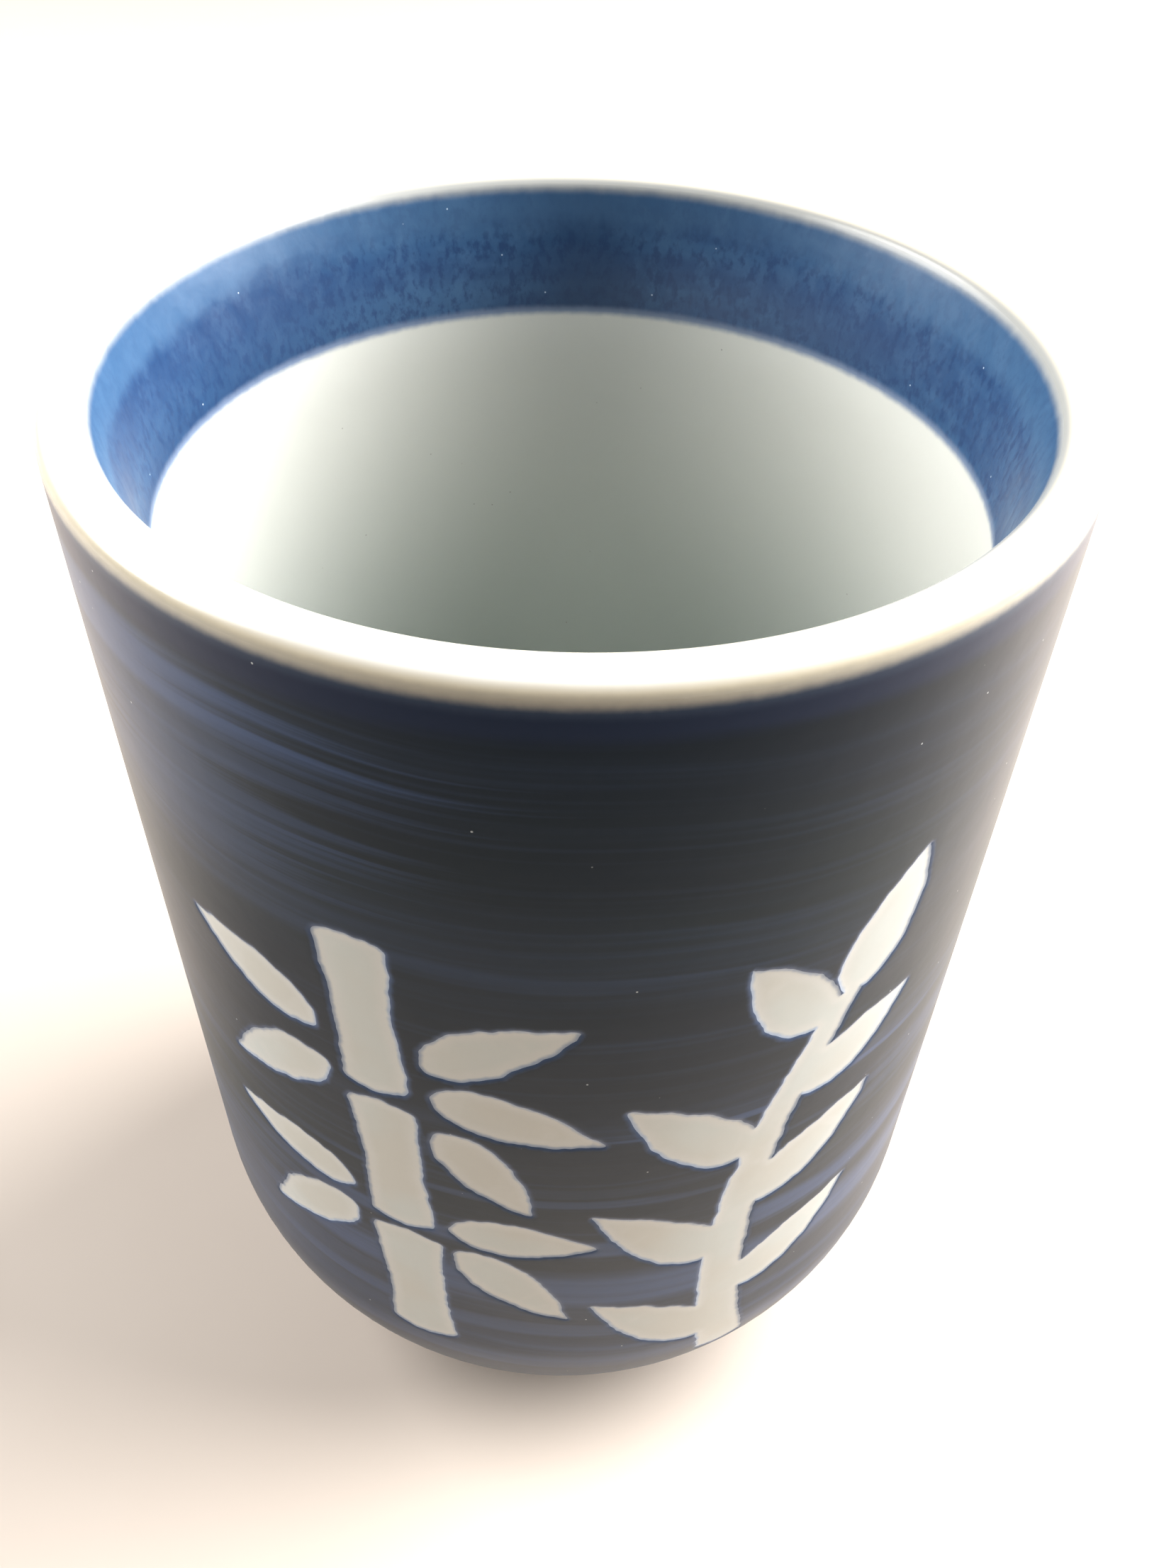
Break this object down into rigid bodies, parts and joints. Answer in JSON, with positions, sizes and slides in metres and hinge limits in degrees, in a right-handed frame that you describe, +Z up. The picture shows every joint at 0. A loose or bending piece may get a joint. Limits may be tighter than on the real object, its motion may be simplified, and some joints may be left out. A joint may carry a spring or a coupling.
{
  "type": "tall handleless teacup",
  "caption": "Tall straight-sided porcelain teacup with a white lip, brushed blue outside, blue inner band and a low foot ring.",
  "frame": {"origin": "centre of the foot ring, on the surface that the cup stands on", "axes": "+Z up along the cup's axis; the decorated front faces -Y; +X to the right as seen from the front"},
  "size_m": [0.074, 0.074, 0.103],
  "materials": {
    "porcelain_body": "fired porcelain under the glaze",
    "foot_ring": "bare fired porcelain, sanded smooth",
    "foot_well_glaze": "clear glaze, satin gloss",
    "lip_glaze": "clear glaze over white, satin gloss",
    "outer_cobalt_glaze": "dark cobalt brushed round the cup, satin gloss",
    "bamboo_reserve": "clear glaze over white, satin gloss",
    "leaf_spray_reserve": "clear glaze over white, satin gloss",
    "inner_cobalt_band": "mid cobalt, mottled, satin gloss",
    "inner_liner_glaze": "clear glaze over white, satin"
  },
  "bodies": {
    "root": {"porcelain_body": "porcelain_body", "foot_ring": "foot_ring", "foot_well_glaze": "foot_well_glaze", "lip_glaze": "lip_glaze", "outer_cobalt_glaze": "outer_cobalt_glaze", "bamboo_reserve": "bamboo_reserve", "leaf_spray_reserve": "leaf_spray_reserve", "inner_cobalt_band": "inner_cobalt_band", "inner_liner_glaze": "inner_liner_glaze"}
  },
  "joints": []
}
